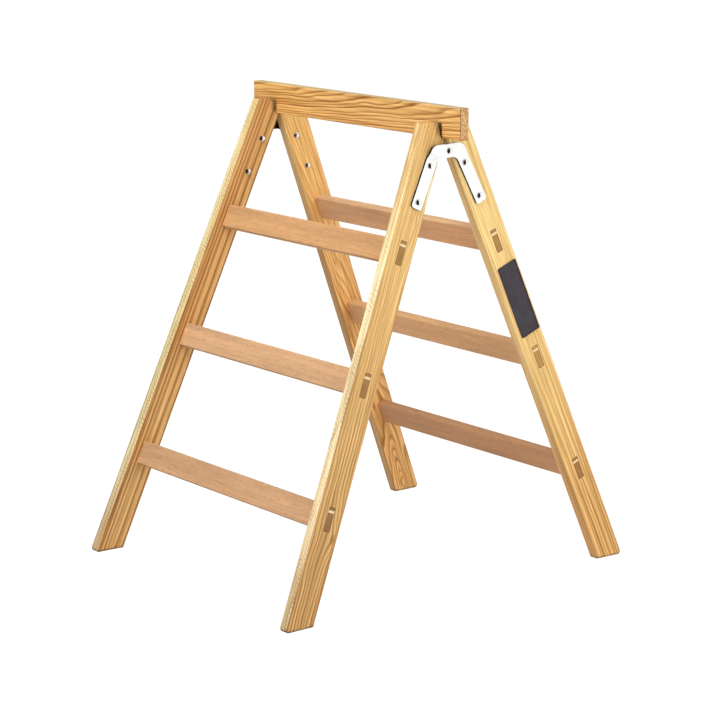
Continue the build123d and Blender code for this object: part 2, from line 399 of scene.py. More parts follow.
class Board(NamedTuple):
    """How one pine bar was sawn from its tree, in the bar's own frame and in metres."""

    heart: tuple              # place of the tree's heart across the bar
    tilt: tuple               # lean of the heart about the bar's X and Y, in radians
    ring: float               # width of one year's ring
    sway: float               # how far the rings wander
    turns: float              # wanders per metre along the bar
    warmth: float             # share of heart wood colour
    lines: tuple = (1, 1)     # strength of the dark lines at the foot and at the head
    swells: tuple = ()        # branches that push the rings out
    knots: tuple = ()         # branches that show as brown spots
    edge_line: tuple = ()     # both sides, in Y, and strength of a dark line along the wide faces
    sap_from: float = 0.72    # how squarely a face looks out before it shows sap wood
    sap_head: float = 1.0     # share of sap wood left at the head
    sap_tone: tuple = WHITE   # tint of the sap wood
    sap_foot: tuple = WHITE   # further tint of the sap wood at the foot, partly painted shade that darkens it towards the floor
    ticks: float = 1.0        # strength of the short slanting lines in the sap wood
    highlight_strength: float = 0.0    # share of painted highlight, in sap wood's colour, along the rear corner below the head
    tone: tuple = WHITE       # tint of the rest
    inner_tone: tuple = WHITE   # tint of the narrow face that looks down at the other ladder, partly painted shade
    end_tone: tuple = (0.84, 0.74, 0.62)   # tint of the end grain
    foot: tuple = WHITE       # tint of all of it at the foot; on a stile partly painted shade, darker towards the floor
    head: tuple = WHITE       # tint of all of it at the head; on a stile partly painted light
    rise: tuple = (0.0, 0.8)  # where along the bar the foot's tint gives way to the head's


class Tones(NamedTuple):
    """Tints of one rung's beech."""

    whole: tuple
    ends: tuple               # further tint of the end grain
    top: tuple = WHITE        # further tint of what looks up, painted light on the top faces


def joint_lines(shader, ladder):
    """Share of dark joint line round the tenons of one ladder, seen on the stiles' faces."""
    timber = settings("trestle_timber")
    dark_to = 0.0002
    clear_from = 0.0011
    across = shader.parts(shader.in_frame(ladder_frame(ladder)))
    half_pitch = timber.rung_pitch / 2
    run = shader.plus(across[2], half_pitch - timber.first_rung)
    run = shader.minus(shader.math("MODULO", run, timber.rung_pitch), half_pitch)
    beyond = shader.minus(shader.math("ABSOLUTE", run), timber.tenon_height / 2)
    beside = shader.minus(shader.math("ABSOLUTE", across[1]), timber.tenon_thickness / 2)
    away = shader.math("ABSOLUTE", shader.math("MAXIMUM", beyond, beside))
    line = shader.between(away, dark_to, clear_from, 1.0, 0.0)
    highest = timber.first_rung + timber.rung_pitch * (len(LEVELS) - 0.5)
    return shader.times(line, shader.math("LESS_THAN", across[2], highest))


def from_branch(shader, local, branch):
    """Way from a branch's middle on the wide faces, with its half width and half length as 1."""
    away = shader.vector("SUBTRACT", local, (0, branch.y, branch.z))
    return shader.vector("MULTIPLY", away, (0, 1 / branch.half_width, 1 / branch.half_length))


def swell_height(shader, local, swells):
    """How much the rings are pushed out where a branch once was."""
    heights = []
    for branch in swells:
        away = from_branch(shader, local, branch)
        near = shader.vector("DOT_PRODUCT", away, away, out="Value")
        near = shader.math("EXPONENT", shader.times(shader.math("POWER", near, 0.65), -1.0))
        heights.append(shader.times(near, branch.strength))
    return shader.gather("ADD", heights)


def knot_share(shader, local, knots):
    """Share of brown where a branch shows."""
    spots = []
    for branch in knots:
        away = shader.vector("LENGTH", from_branch(shader, local, branch), out="Value")
        spots.append(shader.between(away, 0.3, 1.3, branch.strength, 0.0))
    return shader.gather("MAXIMUM", spots)


def stretch(shader, value, rise, fall):
    """1 over a stretch of values, with a soft start and a soft end."""
    return shader.times(shader.between(value, *rise), shader.between(value, *fall, 1.0, 0.0))


def edge_line_share(shader, local, sides, strength):
    """Share of one dark line that runs along a bar's wide faces and fades towards the head."""
    soft = 0.0009
    fade_from = 0.65
    fade_to = 0.95
    across = shader.parts(local)
    near, far = sides
    share = stretch(shader, across[1], (near - soft, near + soft), (far - soft, far + soft))
    share = shader.times(share, shader.between(across[2], fade_from, fade_to, strength, 0.1))
    broken = shader.between(shader.noise(local, (60, 60, 9), 3), 0.35, 0.6, 0.45, 1.0)
    return shader.times(share, broken)


def slant_ticks(shader, local):
    """Share of the short slanting lines where the rings run out on a narrow face."""
    slant = 0.85              # drop along the bar for each metre across it
    pitch = 0.0093            # line to line, along the bar
    stray = 2.0               # how far the lines stray, in pitches
    foot_end = 0.45           # above this height they are no longer stronger
    along = shader.parts(local)[2]
    run = shader.math("MULTIPLY_ADD", shader.parts(shader.point)[0], slant, along)
    ragged = shader.times(shader.noise(local, (90, 90, 30), 2), stray)
    phase = shader.math("FRACT", shader.plus(shader.math("DIVIDE", run, pitch), ragged))
    tick = shader.ramp(phase, [(0, 0.0), (0.48, 0.05), (0.7, 1.0), (0.86, 0.8), (1, 0.0)])
    patchy = shader.between(shader.noise(local, (60, 60, 14), 2), 0.35, 0.6, 0.1, 0.75)
    return shader.times(shader.times(tick, patchy), shader.between(along, 0.0, foot_end, 1.2, 1.0))


def painted_corner_highlight(shader, local, strength):
    """Share of painted highlight, in sap wood's colour, along a stile's rear corner over a short stretch below its
    head.
    """
    place = shader.parts(local)
    corner = shader.between(place[1], 0.024, 0.03, 0.0, strength)
    return shader.times(corner, stretch(shader, place[2], rise=(0.86, 0.93), fall=(0.95, 0.97)))


def painted_gap_shade(shader):
    """Share of painted shade on the beam's front face, in the gap behind the front stiles' heads."""
    strengths = {"left": 0.3, "right": 1.0}
    dark_to = 0.002           # beyond a stile's side faces
    clear_from = 0.0055
    fade = 0.002              # below a stile's top
    marks = []
    for side, strength in strengths.items():
        stile = stile_frame("front", side)
        corner = ranges(f"front_{side}_stile", stile)[1]
        across = shader.parts(shader.in_frame(stile))
        beside = shader.math("ABSOLUTE", across[0])
        mark = shader.between(beside, corner.x + dark_to, corner.x + clear_from, 1.0, 0.0)
        mark = shader.times(mark, shader.between(across[2], corner.z - fade, corner.z, 1.0, 0.0))
        marks.append(shader.times(mark, strength))
    front = shader.between(shader.facing((0, -1, 0)), 0.5, 0.9)
    return shader.times(shader.gather("ADD", marks), front)


def ragged_edge(shader, away, point, grains, raggedness, dark_to, clear_from):
    """Share of a darkening that fades with the distance from its source, up to a ragged line; it serves both dirt
    and painted shade.
    """
    ragged = shader.times(shader.noise(point, (grains, grains, grains), 3), raggedness)
    return shader.between(shader.plus(away, ragged), dark_to, clear_from, 1.0, 0.0)


def soiled_ends(shader, bar, half_length):
    """Share of dark dirt along the corners at both ends of a bar."""
    local = shader.in_frame(bar)
    away = shader.minus(half_length, shader.math("ABSOLUTE", shader.parts(local)[2]))
    near = ragged_edge(shader, away, local, 70, raggedness=0.003, dark_to=0.0025, clear_from=0.0045)
    return shader.times(near, shader.minus(1.0, end_share(shader, bar)))


def cheek_shade(shader):
    """What painted shade leaves of the colour, on the front stiles' heads next to the beam."""
    cheek_slope = 0.19        # how far a notch's cheek leans away from the beam, for each metre up
    fade_below = 0.004        # the shade starts this far under the beam's underside
    fade_above = 0.012        # and is full this far over it
    kept = 0.45
    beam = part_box("head_beam")[0]
    place = shader.parts(shader.point)
    lean_back = shader.times(shader.minus(place[2], beam.z), cheek_slope)
    away = shader.minus(beam.y, shader.plus(place[1], lean_back))
    near = ragged_edge(shader, away, shader.point, 60, raggedness=0.008, dark_to=0.004, clear_from=0.022)
    above = shader.between(place[2], beam.z - fade_below, beam.z + fade_above)
    return shader.between(shader.times(near, above), 0.0, 1.0, 1.0, kept)


def foot_grime(shader):
    """What the floor's dirt leaves of the colour, just above the floor."""
    raggedness = 0.008
    dark_to = 0.004
    clear_from = 0.011
    kept = 0.3
    ragged = shader.times(shader.noise(shader.point, (90, 90, 30), 3), raggedness)
    height = shader.plus(shader.parts(shader.point)[2], ragged)
    return shader.between(height, dark_to, clear_from, kept, 1.0)


def end_share(shader, bar):
    """How much of a face is end grain."""
    along = bar.to_3x3().col[2]
    return shader.between(shader.math("ABSOLUTE", shader.facing(along)), 0.6, 0.92)


def painted_corner_shade(shader, bar, kept_below, kept_above):
    """What painted shade leaves of the colour along a bar's rounded corners, with its own level where they look
    down and where they look up.
    """
    squares = [shader.math("ABSOLUTE", shader.facing(axis)) for axis in bar.to_3x3().col]
    square = shader.gather("MAXIMUM", squares)
    kept = shader.between(shader.parts(shader.normal)[2], -0.2, 0.2, kept_below, kept_above)
    return shader.between(square, 0.8, 0.98, kept, 1.0)


def summer_wood(shader, bar, board, local, moved):
    """Share of the dark line that ends each year's ring."""
    leaning = Matrix.Rotation(board.tilt[0], 4, "X") @ Matrix.Rotation(board.tilt[1], 4, "Y")
    from_heart = shader.in_frame(bar @ Matrix.Translation((*board.heart, 0)) @ leaning)
    slow = ((8, 8, board.turns), board.sway)
    quick = ((40, 40, 10), board.sway * 0.8)
    for grains, size in (slow, quick):
        from_heart = shader.vector("ADD", from_heart, shader.wander(moved, grains, 1, size))
    flat = shader.vector("MULTIPLY", from_heart, ACROSS_ONLY)
    radius = shader.vector("LENGTH", flat, out="Value")
    if board.swells:
        radius = shader.plus(radius, swell_height(shader, local, board.swells))
    count = shader.math("DIVIDE", radius, board.ring)
    inputs = {"W": count, "Scale": 0.45, "Detail": 0}
    uneven = shader.add("ShaderNodeTexNoise", inputs, noise_dimensions="1D")
    count = shader.plus(count, shader.times(uneven.outputs[0], 1.4))
    year = shader.add("ShaderNodeTexWhiteNoise", {"W": shader.math("FLOOR", count)}, noise_dimensions="1D")
    stops = [(0, 0.0), (0.3, 0.06), (0.6, 0.45), (0.8, 1.0), (0.93, 0.95), (1, 0.0)]
    late = shader.ramp(shader.math("FRACT", count), stops)
    late = shader.times(late, shader.between(year.outputs[0], 0, 1, 0.7, 1.0))
    late = shader.times(late, shader.between(shader.parts(local)[2], 0.0, 0.95, *board.lines))
    if board.edge_line:
        late = shader.math("MAXIMUM", late, edge_line_share(shader, local, *board.edge_line))
    return late


def sap_wood(shader, board, local, warm):
    """Colour of the sap wood, with its tint at the foot and its slanting lines."""
    timber = settings("trestle_timber")
    foot_end = 0.3
    sap = shader.mix(shader.times(warm, 0.8), timber.pine_sap, timber.pine_early)
    sap = shader.tint(sap, board.sap_tone)
    # the sap wood's tint at the foot is partly painted shade, darker towards the floor
    sap = shader.tint(sap, board.sap_foot, shader.between(shader.parts(local)[2], 0.0, foot_end, 1.0, 0.0))
    return shader.mix(shader.times(slant_ticks(shader, local), board.ticks), sap, timber.pine_tick)


def dirt_and_painted_shade(shader, wood, bar, ladder):
    """Wood with dirt and painted shade: a stile's with its ladder given, the beam's without one."""
    gap_shade_kept = 0.15
    corner_kept = 0.45
    if ladder:
        wood = shader.tint(wood, foot_grime(shader))
        # painted shade on the front stiles' heads next to the beam
        return shader.tint(wood, cheek_shade(shader)) if ladder == "front" else wood
    # painted shade in the gap behind the front stiles' heads
    wood = shader.tint(wood, (gap_shade_kept, gap_shade_kept, gap_shade_kept), painted_gap_shade(shader))
    half_length = ranges("head_beam", bar)[1].z
    return shader.tint(wood, (corner_kept, corner_kept, corner_kept), soiled_ends(shader, bar, half_length))


def pine(name, bar, board, ladder=None):
    """Pine with rings round a heart that runs along a stile, or along the beam if no ladder is given."""
    timber = settings("trestle_timber")
    pale_streak = (1.21, 1.28, 1.39)
    warmth_spread = 0.22
    sap_fade = 0.25           # from no sap wood to all of it, in how squarely a face looks out
    sap_late = 0.55           # strength of the rings' dark lines in the sap wood
    own_place = (board.heart[0] * 90, board.heart[1] * 70, 0)   # gives each bar its own part of the noise
    shader = Shader(name)
    local = shader.in_frame(bar)
    along = shader.parts(local)[2]
    moved = shader.vector("ADD", local, own_place)
    late = summer_wood(shader, bar, board, local, moved)
    fibre = shader.noise(moved, PINE_FIBRE, 3)
    cloud = shader.noise(moved, PINE_CLOUD, 2)
    warm = shader.between(cloud, 0.3, 0.7, board.warmth - warmth_spread, board.warmth + warmth_spread)
    wood = shader.mix(warm, timber.pine_early, timber.pine_heart)
    wood = shader.tint(wood, board.tone)
    wood = shader.tint(wood, painted_corner_shade(shader, bar, kept_below=0.7, kept_above=0.7))
    facing = shader.facing(outer_face(ladder) if ladder else Vector((0, 0, 1)))
    edge = shader.between(facing, board.sap_from, board.sap_from + sap_fade)
    if ladder:
        edge = shader.times(edge, shader.between(along, 0.7, 1.0, 1.0, board.sap_head))
        # the narrow face that looks down at the other ladder gets a tint that is partly painted shade
        wood = shader.tint(wood, board.inner_tone, shader.between(facing, -0.95, -0.7, 1.0, 0.0))
    wood = shader.mix(edge, wood, sap_wood(shader, board, local, warm))
    # painted highlight along the rear corner below the head
    if board.highlight_strength:
        wood = shader.mix(painted_corner_highlight(shader, local, board.highlight_strength), wood, timber.pine_sap)
    late = shader.times(late, shader.between(edge, 0, 1, 1.0, sap_late))
    wood = shader.tint(wood, timber.pine_late, late)
    # foot-to-head tint: on a stile partly painted shade that darkens towards the floor, partly wood that turns
    # more orange there
    wood = shader.tint(wood, shader.mix(shader.between(along, *board.rise), board.foot, board.head))
    if board.knots:
        wood = shader.tint(wood, timber.pine_knot, knot_share(shader, local, board.knots))
    wood = shader.vary(wood, fibre, 0.82, 1.15)
    streak = shader.between(shader.noise(moved, PINE_STREAK, 3), *NOISE_SPAN)
    wood = shader.tint(wood, shader.mix(streak, timber.pine_streak, pale_streak))
    wood = shader.tint(wood, board.end_tone, end_share(shader, bar))
    if ladder:
        wood = shader.mix(joint_lines(shader, ladder), wood, timber.joint_line)
    wood = dirt_and_painted_shade(shader, wood, bar, ladder)
    rough = shader.between(fibre, 0.2, 0.8, 0.45, 0.65)
    relief = shader.plus(shader.times(fibre, 0.6), shader.times(late, 0.5))
    return shader.finish(wood, rough, relief, depth=0.0003, gloss=timber.gloss)


def beech(name, bar, tones, ladder):
    """Beech: even pinkish wood with short dark flecks along the grain and soft rings."""
    timber = settings("trestle_timber")
    heart = (-0.09, 0.03, 0)
    ring = 0.0042
    sway = 0.03
    shader = Shader(name)
    local = shader.in_frame(bar)
    moved = shader.vector("ADD", local, bar.translation * 3)
    bent = shader.vector("ADD", local, shader.wander(moved, (8, 8, 2), 2, sway))
    flat = shader.vector("MULTIPLY", shader.vector("SUBTRACT", bent, heart), ACROSS_ONLY)
    phase = shader.math("FRACT", shader.math("DIVIDE", shader.vector("LENGTH", flat, out="Value"), ring))
    late = shader.ramp(phase, [(0, 0.0), (0.55, 0.25), (0.9, 1.0), (1, 0.0)])
    fleck = shader.between(shader.noise(moved, BEECH_FLECK, 1), 0.55, 0.7)
    fibre = shader.noise(moved, BEECH_FIBRE, 3)
    wood = shader.mix(shader.times(late, 0.16), timber.beech, timber.beech_fleck)
    wood = shader.mix(shader.times(fleck, 0.5), wood, timber.beech_fleck)
    wood = shader.tint(wood, tones.whole)
    # painted light: the faces that look up get their own tint
    wood = shader.tint(wood, tones.top, shader.between(shader.parts(shader.normal)[2], 0.3, 0.75))
    wood = shader.tint(wood, painted_corner_shade(shader, bar, kept_below=0.74, kept_above=0.95))
    wood = shader.vary(wood, fibre, 0.9, 1.08)
    wood = shader.vary(wood, shader.noise(moved, BEECH_CLOUD, 3), 0.88, 1.1)
    end = end_share(shader, bar)
    wood = shader.tint(wood, tones.ends, end)
    wood = shader.mix(shader.times(end, joint_lines(shader, ladder)), wood, timber.joint_line)
    rough = shader.between(fibre, 0.2, 0.8, 0.48, 0.62)
    return shader.finish(wood, rough, shader.minus(fibre, fleck), depth=0.0002, gloss=timber.gloss)


def wedge_wood(name):
    """Pale wedge, seen on its end grain."""
    timber = settings("trestle_timber")
    shader = Shader(name)
    grain = shader.noise(shader.point, (300, 900, 900), 3)
    wood = shader.vary(timber.wedge, grain, 0.82, 1.08)
    return shader.finish(wood, 0.6, grain, depth=0.0002, gloss=timber.gloss)


def zinc(name, leaf=False):
    """Bright zinc plate, smoother on heads; on the hinge leaves the cut edges and the backs get a near-black
    painted shade.
    """
    fittings = settings("trestle_fittings")
    roughness = (0.18, 0.3) if leaf else (0.08, 0.16)
    shader = Shader(name)
    shader.surface.inputs["Metallic"].default_value = 0.4 if leaf else 1.0
    brush = shader.noise(shader.point, (900, 120, 120), 2)
    plate = shader.vary(fittings.zinc, shader.noise(shader.point, (60, 60, 60), 4), 0.975, 1.02)
    if leaf:
        side = shader.math("SIGN", shader.parts(shader.point)[0])
        outwards = shader.times(shader.parts(shader.normal)[0], side)
        # painted shade: faces that don't look out from the stile, the cut edges and the back, turn near-black
        plate = shader.mix(shader.between(outwards, 0.5, 0.85), fittings.painted_leaf_shade, plate)
    return shader.finish(plate, shader.between(brush, 0.2, 0.8, *roughness), brush, depth=0.00002)


def dark_film(name):
    """Dark film with a satin sheen and faint scuffs."""
    fittings = settings("trestle_fittings")
    shader = Shader(name)
    scuff = shader.noise(shader.point, (400, 400, 60), 3)
    film = shader.vary(fittings.sticker, shader.noise(shader.point, (50, 50, 50), 3), 0.85, 1.2)
    rough = shader.between(scuff, *NOISE_SPAN, 0.36, 0.5)
    return shader.finish(film, rough, scuff, depth=0.00003, gloss=0.4)


def bright_level(nodes, direction, side, spread, dark):
    """1 towards the bright side of the studio, and a dark level within a spread of the dark side."""
    softness = 0.04 * math.sin(spread)
    middle = Vector((math.sin(side), -math.cos(side), 0))
    ahead = nodes.vector("NORMALIZE", nodes.vector("MULTIPLY", direction, ACROSS_ONLY))
    facing = nodes.vector("DOT_PRODUCT", ahead, middle, out="Value")
    rim = math.cos(spread)
    inputs = {0: facing, 1: rim - softness, 2: rim + softness, 3: 1.0, 4: dark}
    return nodes.add("ShaderNodeMapRange", inputs).outputs[0]


def mirrored_level(nodes, direction, studio):
    """What metal mirrors: white, but for the dark side and a dark strip."""
    dark = studio.mirrored_dark
    bright = bright_level(nodes, direction, studio.dark_side, studio.dark_spread, dark)
    strip = bright_level(nodes, direction, studio.strip_side, studio.strip_spread, dark)
    return nodes.pick(strip, dark, bright)


def floor_paint(studio):
    """Floor that the camera sees as white, with a faint shadow; metal mirrors its dark side."""
    own_white = 0.975         # what the floor shows the camera even in the shadow
    shader = Shader("floor_paint")
    shader.tree.nodes.remove(shader.surface)
    path = shader.add("ShaderNodeLightPath").outputs
    shadowed = shader.add("ShaderNodeBsdfDiffuse", {"Color": studio.lit_floor}).outputs[0]
    white = shader.add("ShaderNodeEmission", {"Color": WHITE, "Strength": own_white}).outputs[0]
    seen = shader.add("ShaderNodeAddShader", {0: white, 1: shadowed}).outputs[0]
    level = mirrored_level(shader, shader.point, studio)
    mirrored = shader.add("ShaderNodeEmission", {"Color": WHITE, "Strength": level}).outputs[0]
    floor = shader.add("ShaderNodeBsdfDiffuse", {"Color": studio.floor}).outputs[0]
    for ray, look in (("Is Camera Ray", seen), ("Is Glossy Ray", mirrored)):
        floor = shader.add("ShaderNodeMixShader", {0: path[ray], 1: floor, 2: look}).outputs[0]
    shader.feed(shader.tree.nodes["Material Output"].inputs["Surface"], floor)
    return shader.material


def active():
    """The object that the last operator left active."""
    return bpy.context.view_layer.objects.active


def clear_selection():
    bpy.ops.object.select_all(action="DESELECT")


def choose(piece):
    """Select one piece alone and make it active."""
    clear_selection()
    piece.select_set(True)
    bpy.context.view_layer.objects.active = piece


def tidy_mesh():
    """Merge doubles and turn every face outwards, in edit mode."""
    bpy.ops.mesh.select_all(action="SELECT")
    bpy.ops.mesh.remove_doubles(threshold=1e-6)
    bpy.ops.mesh.normals_make_consistent(inside=False)


def turned(outline, around=48):
    """Closed round solid along Z, drawn out ring by ring from (radius, z) points."""
    clear_selection()
    radius, level = outline[0]
    start = (0, 0, level)
    bpy.ops.mesh.primitive_circle_add(vertices=around, radius=radius, fill_type="NGON", location=start)
    bpy.ops.object.transform_apply(location=True, rotation=False, scale=False)
    bpy.ops.object.mode_set(mode="EDIT")
    bpy.ops.mesh.select_all(action="SELECT")
    for wider, higher in outline[1:]:
        rise = (0, 0, higher - level)
        bpy.ops.mesh.extrude_region_move(TRANSFORM_OT_translate={"value": rise})
        grow = wider / radius
        bpy.ops.transform.resize(value=(grow, grow, 1), center_override=(0, 0, higher))
        radius, level = wider, higher
    tidy_mesh()
    bpy.ops.object.mode_set(mode="OBJECT")
    return active()


def thread(radius, pitch, threaded, base, around=32):
    """Screw thread up Z from a base height, its crest at a radius."""
    clear_selection()
    crest = pitch / 2
    middle = (radius - crest, 0, base + crest)
    upright = Matrix(((0, 1, 0), (0, 0, 1), (1, 0, 0))).to_euler()
    bpy.ops.mesh.primitive_circle_add(
        vertices=3, radius=crest, fill_type="NOTHING", location=middle, rotation=upright
    )
    bpy.ops.object.transform_apply(location=True, rotation=True, scale=True)
    ridge = active()
    screw = ridge.modifiers.new("thread", "SCREW")
    screw.axis = "Z"
    screw.screw_offset = pitch
    screw.iterations = int(threaded / pitch) - 1
    screw.steps = around
    screw.render_steps = around
    bpy.ops.object.modifier_apply(modifier=screw.name)
    bpy.ops.object.mode_set(mode="EDIT")
    bpy.ops.mesh.select_all(action="SELECT")
    bpy.ops.mesh.fill_holes(sides=0)
    tidy_mesh()
    bpy.ops.object.mode_set(mode="OBJECT")
    return ridge


def join(name, pieces):
    """Join pieces into one object with its origin at the model's."""
    clear_selection()
    for piece in pieces:
        piece.select_set(True)
    bpy.context.view_layer.objects.active = pieces[0]
    if len(pieces) > 1:
        bpy.ops.object.join()
    whole = active()
    bpy.ops.object.transform_apply(location=True, rotation=True, scale=True)
    bpy.ops.object.shade_smooth_by_angle(angle=math.radians(35))
    whole.name = name
    return whole


def copy_of(piece):
    """Copy of a piece, with its own mesh."""
    choose(piece)
    bpy.ops.object.duplicate(linked=False)
    return active()


def settle(piece, place):
    """Move a finished piece to its place, in its mesh."""
    choose(piece)
    piece.matrix_world = place
    bpy.ops.object.transform_apply(location=True, rotation=True, scale=True)


def dress(piece, material):
    """Give a piece one material."""
    piece.data.materials.clear()
    piece.data.materials.append(material)


def paint(node, material):
    """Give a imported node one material."""
    dress(frame["nodes"][node], material)


class TRESTLE_OT_stiles(bpy.types.Operator):
    """Give each stile its own pine, with rings round its own heart"""

    bl_idname = "trestle.stiles"
    bl_label = "Stiles"

    def execute(self, context):
        boards = {
            "front_left": Board(
                heart=(0.06, -0.11), tilt=(0.002, 0.0), ring=0.011, sway=0.006, turns=1.6, warmth=0.8,
                edge_line=((0.0265, 0.0305), 0.9),
                sap_from=0.35, sap_tone=(0.86, 0.93, 0.98), sap_foot=(0.77, 0.64, 0.6),
                foot=(0.9, 0.91, 0.92), head=(1.04, 1.05, 1.03),
            ),
            "front_right": Board(
                heart=(-0.03, 0.16), tilt=(0.01, 0.008), ring=0.0076, sway=0.014, turns=3.5, warmth=0.3,
                lines=(1.0, 0.4), edge_line=((-0.0315, -0.028), 0.55),
                swells=(Branch(0.023, 0.193, 0.016, 0.07, 0.016), Branch(0.021, 0.857, 0.011, 0.04, 0.014)),
                knots=(Branch(0.021, 0.193, 0.006, 0.013, 0.6),),
                sap_tone=(0.89, 0.855, 0.86), sap_head=0.3, ticks=0.7, highlight_strength=0.9,
                tone=(0.89, 0.86, 0.84), foot=(0.85, 0.81, 0.79), head=(1.05, 1.06, 1.05),
            ),
            "rear_left": Board(
                heart=(0.055, -0.012), tilt=(-0.08, 0.02), ring=0.0042, sway=0.006, turns=3.0, warmth=0.5,
                lines=(1.0, 0.5),
                swells=(
                    Branch(0.004, -0.02, 0.017, 0.17, 0.042),
                    Branch(-0.014, 0.38, 0.016, 0.09, 0.014),
                    Branch(0.012, 0.66, 0.014, 0.08, 0.01),
                ),
                knots=(Branch(0.012, 0.029, 0.004, 0.014, 0.6),),
                ticks=0.3, tone=(1.06, 1.0, 0.96), inner_tone=(0.73, 0.79, 0.96),
                foot=(1.06, 1.04, 1.0), head=(1.23, 1.27, 1.17), rise=(0.62, 1.0),
            ),
            "rear_right": Board(
                heart=(-0.06, -0.045), tilt=(0.006, -0.004), ring=0.0052, sway=0.003, turns=2.0, warmth=0.05,
                lines=(0.8, 0.12), ticks=0.3, tone=(1.02, 0.985, 0.92), inner_tone=(0.88, 0.84, 0.88),
                foot=(0.88, 0.79, 0.72), head=(1.02, 1.12, 1.2),
            ),
        }
        for place, board in boards.items():
            ladder, side = place.split("_")
            paint(f"{place}_stile", pine(f"{place}_pine", stile_frame(ladder, side), board, ladder))
        return {"FINISHED"}


class TRESTLE_OT_head_beam(bpy.types.Operator):
    """Give the head beam its pine"""

    bl_idname = "trestle.head_beam"
    bl_label = "Head beam"

    def execute(self, context):
        board = Board(
            heart=(-0.05, -0.042), tilt=(0.0, -0.045), ring=0.0043, sway=0.006, turns=5.0, warmth=0.7,
            sap_from=0.35, sap_tone=(0.6, 0.6, 0.585), end_tone=(0.92, 0.97, 1.24),
            foot=(1.08, 1.07, 0.91), head=(1.01, 0.98, 0.9), rise=(-0.3, 0.0),
        )
        paint("head_beam", pine("beam_pine", beam_frame(), board))
        return {"FINISHED"}


class TRESTLE_OT_rungs(bpy.types.Operator):
    """Give each rung its own beech"""

    bl_idname = "trestle.rungs"
    bl_label = "Rungs"

    def execute(self, context):
        rungs = {
            "front_top": Tones(whole=(0.9, 0.87, 0.77), ends=(0.66, 0.62, 0.47)),
            "front_middle": Tones(whole=(0.95, 0.98, 1.03), ends=(0.56, 0.49, 0.33)),
            "front_bottom": Tones(whole=(0.9, 0.9, 0.95), ends=(0.51, 0.46, 0.33), top=(0.92, 1, 1)),
            "rear_top": Tones(whole=(0.96, 0.91, 0.89), ends=(0.63, 0.65, 0.43), top=(1.14, 1.32, 1.42)),
            "rear_middle": Tones(whole=(1.0, 0.98, 0.93), ends=(0.74, 0.72, 0.48), top=(1, 1.04, 1.03)),
            "rear_bottom": Tones(whole=(0.82, 0.75, 0.72), ends=(0.69, 0.62, 0.42), top=(0.93, 0.94, 0.92)),
        }
        for place, tones in rungs.items():
            ladder, level = place.split("_")
            paint(f"{place}_rung", beech(f"{place}_beech", rung_frame(ladder, level), tones, ladder))
        return {"FINISHED"}


class TRESTLE_OT_wedges(bpy.types.Operator):
    """Give the tenon wedges their pale wood"""

    bl_idname = "trestle.wedges"
    bl_label = "Wedges"

    def execute(self, context):
        wood = wedge_wood("wedge_wood")
        for place in PLACES:
            for level in LEVELS:
                paint(f"{place}_{level}_wedge", wood)
        return {"FINISHED"}


class TRESTLE_OT_hinge_leaves(bpy.types.Operator):
    """Give the hinge leaves and pivot rivets their zinc"""

    bl_idname = "trestle.hinge_leaves"
    bl_label = "Hinge leaves"

    def execute(self, context):
        plate = zinc("leaf_zinc", leaf=True)
        rivet = zinc("rivet_zinc")
        for place in PLACES:
            paint(f"{place}_hinge_leaf", plate)
        for side in SIDES:
            paint(f"{side}_pivot_rivet", rivet)
        return {"FINISHED"}


class TRESTLE_OT_hinge_nuts(bpy.types.Operator):
    """Give the domed sleeve nuts their zinc"""

    bl_idname = "trestle.hinge_nuts"
    bl_label = "Hinge nuts"

    def execute(self, context):
        plate = zinc("nut_zinc")
        for place in PLACES:
            paint(f"{place}_hinge_nuts", plate)
        return {"FINISHED"}


class TRESTLE_OT_hinge_bolts(bpy.types.Operator):
    """Model the domed hinge bolts with their threaded ends"""

    bl_idname = "trestle.hinge_bolts"
    bl_label = "Hinge bolts"

    def execute(self, context):
        plate = zinc("bolt_zinc")
        fittings = settings("trestle_fittings")
        low, high = ranges("front_left_hinge_bolts", stile_frame("front", "left"))
        model = self.bolt(fittings, high.x - low.x - fittings.head_height)
        for ladder in LADDERS:
            for side in SIDES:
                node = f"{ladder}_{side}_hinge_bolts"
                bolts = self.pair(model, node, stile_frame(ladder, side), fittings.head_height)
                pair = join(f"{ladder}_{side}_threaded_bolts", bolts)
                dress(pair, plate)
                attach(pair, f"{ladder}_frame")
                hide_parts(node)
        bpy.data.objects.remove(model)
        return {"FINISHED"}

    def pair(self, model, node, stile, head_height):
        """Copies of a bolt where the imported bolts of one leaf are, the upper one first."""
        points = points_in(node, stile)
        low, high = extent(points)
        split = (low.z + high.z) / 2
        bolts = []
        for above in (True, False):
            near, far = extent([point for point in points if (point.z > split) == above])
            middle = (near + far) / 2
            seated = Matrix.Translation((high.x - head_height, middle.y, middle.z))
            bolt = copy_of(model)
            settle(bolt, stile @ seated @ Matrix.Rotation(QUARTER_TURN, 4, "Y"))
            bolts.append(bolt)
        return bolts

    def bolt(self, fittings, reach):
        """Bolt down from a domed head whose underside is at Z 0, to a depth."""
        tip_chamfer = 0.0005
        tip_height = 0.0006
        thread_depth = 0.55 * fittings.thread_pitch
        thread_start = 0.0004
        step_in = 0.00005         # from the thread's crest to the plain shank
        rim = 0.0006              # upright edge of the head, under its dome
        pole = 0.01               # share of the head's radius that is flat on top
        dome_steps = 10
        crest = fittings.bolt_diameter / 2
        shank = crest - step_in
        root = crest - thread_depth
        head = fittings.bolt_head / 2
        shoulder = fittings.thread_length - reach
        outline = [(root - tip_chamfer, -reach), (root, tip_height - reach), (root, shoulder)]
        outline += [(shank, shoulder), (shank, 0), (head, 0), (head, rim)]
        for step in range(1, dome_steps):
            turn = QUARTER_TURN * step / dome_steps
            outline.append((head * math.cos(turn), rim + (fittings.head_height - rim) * math.sin(turn)))
        outline.append((head * pole, fittings.head_height))
        core = turned(outline)
        ridge = thread(crest, fittings.thread_pitch, fittings.thread_length, thread_start - reach)
        return join("bolt", [core, ridge])


